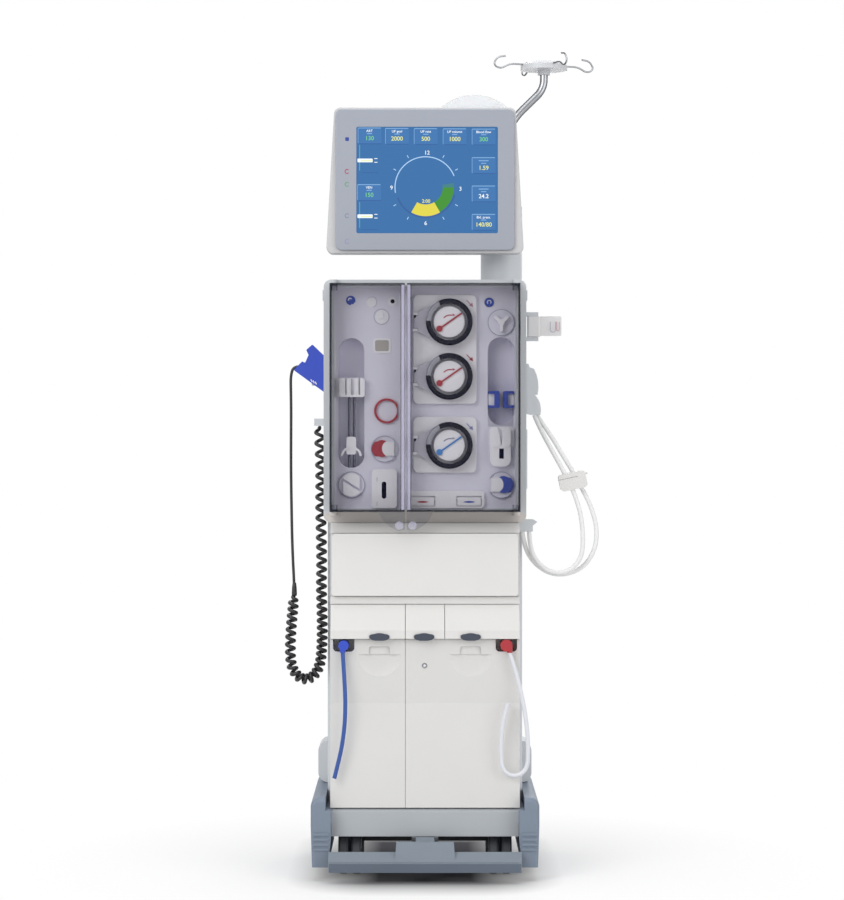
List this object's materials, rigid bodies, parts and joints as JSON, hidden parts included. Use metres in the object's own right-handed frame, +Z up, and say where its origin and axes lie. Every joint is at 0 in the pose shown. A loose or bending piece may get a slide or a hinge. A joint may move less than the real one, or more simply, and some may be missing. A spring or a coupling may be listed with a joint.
{
  "type": "dialysis machine",
  "caption": "Free-standing dialysis machine on castors with roller pumps behind clear doors, a tilting screen and an infusion pole.",
  "frame": {"origin": "on the floor under the middle of the machine", "axes": "+Z up along the tallest side, front facing -Y, +X to the right seen from the front"},
  "size_m": [0.6883, 0.494, 1.803],
  "materials": {
    "steel": "painted steel",
    "skirt": "moulded light grey",
    "fender": "moulded blue-grey",
    "pedal": "painted grey",
    "cabinet": "moulded white",
    "side_strip": "moulded light grey",
    "panel": "moulded pale grey",
    "door": "tinted clear",
    "ring": "glossy black",
    "rotor": "moulded white",
    "blue": "moulded blue",
    "red": "moulded red",
    "clip_blue": "moulded blue",
    "bezel": "moulded grey-blue",
    "screen": "display glass",
    "lamp": "frosted clear",
    "chrome": "polished",
    "tyre": "grey tread",
    "hose": "clear hose",
    "tube_blue": "blue tube",
    "coil": "black cable"
  },
  "bodies": {
    "machine": {"chassis": "steel", "base_skirt": "skirt", "side_fenders": "fender", "cabinet_shell": "side_strip", "cabinet_fascia": "cabinet", "lower_panels": "cabinet", "module_housing": "side_strip", "left_module_panel": "panel", "pump_panel": "panel", "line_clips": "clip_blue", "level_detector": "panel", "monitor_post": "side_strip", "push_handle": "side_strip", "rear_cover": "side_strip", "hose_block": "side_strip", "sensor_head": "blue", "hose_inner": "hose", "hose_outer": "hose", "hose_clip": "cabinet", "sensor_coil": "coil", "sensor_lead": "coil"},
    "left_door": {"left_door": "door"},
    "right_door": {"right_door": "door"},
    "power_button": {"power_button": "blue"},
    "syringe_driver": {"syringe_driver": "panel"},
    "arterial_plunger": {"arterial_plunger": "rotor"},
    "venous_plunger": {"venous_plunger": "rotor"},
    "pressure_knob": {"pressure_knob": "panel"},
    "port_knob": {"port_knob": "panel"},
    "red_port_flap": {"red_port_flap": "rotor"},
    "blue_port_flap": {"blue_port_flap": "rotor"},
    "filter_flap": {"filter_flap": "cabinet"},
    "left_hood": {"left_hood": "cabinet"},
    "centre_hood": {"centre_hood": "cabinet"},
    "right_hood": {"right_hood": "cabinet"},
    "monitor_yoke": {"monitor_yoke": "side_strip"},
    "monitor": {"monitor_housing": "cabinet", "monitor_bezel": "bezel", "screen_glass": "screen", "status_lamp": "lamp"},
    "iv_pole": {"iv_pole": "chrome", "iv_hooks": "chrome"},
    "dialyser_arm": {"dialyser_arm": "side_strip"},
    "brake_pedal": {"brake_pedal": "pedal"},
    "blue_wand": {"blue_wand": "blue", "blue_tube": "tube_blue"},
    "red_wand": {"red_wand": "red", "white_tube": "hose"},
    "pump_cover_top": {"pump_cover_top": "ring"},
    "pump_rotor_top": {"pump_rotor_top": "rotor"},
    "pump_cover_middle": {"pump_cover_middle": "ring"},
    "pump_rotor_middle": {"pump_rotor_middle": "rotor"},
    "pump_cover_bottom": {"pump_cover_bottom": "ring"},
    "pump_rotor_bottom": {"pump_rotor_bottom": "rotor"},
    "castor_fork_left": {"castor_fork_left": "steel"},
    "castor_wheels_left": {"castor_wheels_left": "tyre"},
    "rear_wheels_left": {"rear_wheels_left": "tyre"},
    "castor_fork_right": {"castor_fork_right": "steel"},
    "castor_wheels_right": {"castor_wheels_right": "tyre"},
    "rear_wheels_right": {"rear_wheels_right": "tyre"}
  },
  "joints": [
    {"name": "left_door_hinge", "type": "hinge", "parent": "machine", "child": "left_door", "pos_m": [-0.198, -0.1485, 1.038], "axis": [0, 0, -1], "range_deg": [0, 100]},
    {"name": "right_door_hinge", "type": "hinge", "parent": "machine", "child": "right_door", "pos_m": [0.198, -0.1485, 1.038], "axis": [0, 0, 1], "range_deg": [0, 100]},
    {"name": "pump_cover_hinge_top", "type": "hinge", "parent": "machine", "child": "pump_cover_top", "pos_m": [-0.021, -0.149, 1.2015], "axis": [0, 0, -1], "range_deg": [0, 12]},
    {"name": "pump_rotor_spin_top", "type": "hinge", "parent": "machine", "child": "pump_rotor_top", "pos_m": [0.0526, -0.15, 1.2015], "axis": [0, -1, 0], "continuous": true},
    {"name": "pump_cover_hinge_middle", "type": "hinge", "parent": "machine", "child": "pump_cover_middle", "pos_m": [-0.021, -0.149, 1.0835], "axis": [0, 0, -1], "range_deg": [0, 12]},
    {"name": "pump_rotor_spin_middle", "type": "hinge", "parent": "machine", "child": "pump_rotor_middle", "pos_m": [0.0526, -0.15, 1.0835], "axis": [0, -1, 0], "continuous": true},
    {"name": "pump_cover_hinge_bottom", "type": "hinge", "parent": "machine", "child": "pump_cover_bottom", "pos_m": [-0.021, -0.149, 0.934], "axis": [0, 0, -1], "range_deg": [0, 12]},
    {"name": "pump_rotor_spin_bottom", "type": "hinge", "parent": "machine", "child": "pump_rotor_bottom", "pos_m": [0.0526, -0.15, 0.934], "axis": [0, -1, 0], "continuous": true},
    {"name": "power_button_press", "type": "slide", "parent": "machine", "child": "power_button", "axis": [0, 1, 0], "range_m": [0, 0.003], "stiffness_N_per_m": 400},
    {"name": "syringe_driver_lift", "type": "slide", "parent": "machine", "child": "syringe_driver", "axis": [0, 0, 1], "range_m": [0, 0.085]},
    {"name": "arterial_clamp_slide", "type": "slide", "parent": "machine", "child": "arterial_plunger", "axis": [1, 0, 0], "range_m": [0, 0.007]},
    {"name": "venous_clamp_slide", "type": "slide", "parent": "machine", "child": "venous_plunger", "axis": [-1, 0, 0], "range_m": [0, 0.007]},
    {"name": "pressure_knob_turn", "type": "hinge", "parent": "machine", "child": "pressure_knob", "pos_m": [-0.1596, -0.128, 0.8477], "axis": [0, -1, 0], "range_deg": [0, 90]},
    {"name": "port_knob_turn", "type": "hinge", "parent": "machine", "child": "port_knob", "pos_m": [0.1655, -0.128, 1.201], "axis": [0, -1, 0], "range_deg": [0, 90]},
    {"name": "red_port_hinge", "type": "hinge", "parent": "machine", "child": "red_port_flap", "pos_m": [-0.0053, -0.135, 0.818], "axis": [-1, 0, 0], "range_deg": [0, 70]},
    {"name": "blue_port_hinge", "type": "hinge", "parent": "machine", "child": "blue_port_flap", "pos_m": [0.0958, -0.135, 0.818], "axis": [-1, 0, 0], "range_deg": [0, 70]},
    {"name": "filter_flap_hinge", "type": "hinge", "parent": "machine", "child": "filter_flap", "pos_m": [0, -0.18657, 0.612], "axis": [1, 0, 0], "range_deg": [0, 80]},
    {"name": "left_hood_hinge", "type": "hinge", "parent": "machine", "child": "left_hood", "pos_m": [-0.123, -0.17634, 0.58781], "axis": [-1, 0, 0], "range_deg": [0, 60]},
    {"name": "centre_hood_hinge", "type": "hinge", "parent": "machine", "child": "centre_hood", "pos_m": [0, -0.17634, 0.58781], "axis": [-1, 0, 0], "range_deg": [0, 60]},
    {"name": "right_hood_hinge", "type": "hinge", "parent": "machine", "child": "right_hood", "pos_m": [0.123, -0.17634, 0.58781], "axis": [-1, 0, 0], "range_deg": [0, 60]},
    {"name": "monitor_swivel", "type": "hinge", "parent": "machine", "child": "monitor_yoke", "pos_m": [0.17, 0, 1.43], "axis": [0, 0, 1], "range_deg": [-30, 30]},
    {"name": "monitor_tilt", "type": "hinge", "parent": "monitor_yoke", "child": "monitor", "pos_m": [0.17, -0.048, 1.45], "axis": [-1, 0, 0], "range_deg": [-5, 15]},
    {"name": "iv_pole_lift", "type": "slide", "parent": "machine", "child": "iv_pole", "axis": [0, 0, 1], "range_m": [0, 0.2]},
    {"name": "dialyser_arm_swing", "type": "hinge", "parent": "machine", "child": "dialyser_arm", "pos_m": [0.2384, -0.08, 1.194], "axis": [0, 0, 1], "range_deg": [-30, 60]},
    {"name": "brake_pedal_tilt", "type": "hinge", "parent": "machine", "child": "brake_pedal", "pos_m": [0, -0.205, 0.084], "axis": [1, 0, 0], "range_deg": [-8, 8]},
    {"name": "blue_wand_pull", "type": "slide", "parent": "machine", "child": "blue_wand", "axis": [0, -1, 0], "range_m": [0, 0.03]},
    {"name": "red_wand_pull", "type": "slide", "parent": "machine", "child": "red_wand", "axis": [0, -1, 0], "range_m": [0, 0.03]},
    {"name": "castor_swivel_left", "type": "hinge", "parent": "machine", "child": "castor_fork_left", "pos_m": [-0.163, -0.13, 0.11], "axis": [0, 0, 1], "continuous": true},
    {"name": "castor_roll_left", "type": "hinge", "parent": "castor_fork_left", "child": "castor_wheels_left", "pos_m": [-0.163, -0.113, 0.05], "axis": [1, 0, 0], "continuous": true},
    {"name": "rear_wheel_roll_left", "type": "hinge", "parent": "machine", "child": "rear_wheels_left", "pos_m": [-0.163, 0.144, 0.05], "axis": [1, 0, 0], "continuous": true},
    {"name": "castor_swivel_right", "type": "hinge", "parent": "machine", "child": "castor_fork_right", "pos_m": [0.163, -0.13, 0.11], "axis": [0, 0, 1], "continuous": true},
    {"name": "castor_roll_right", "type": "hinge", "parent": "castor_fork_right", "child": "castor_wheels_right", "pos_m": [0.163, -0.113, 0.05], "axis": [1, 0, 0], "continuous": true},
    {"name": "rear_wheel_roll_right", "type": "hinge", "parent": "machine", "child": "rear_wheels_right", "pos_m": [0.163, 0.144, 0.05], "axis": [1, 0, 0], "continuous": true}
  ]
}
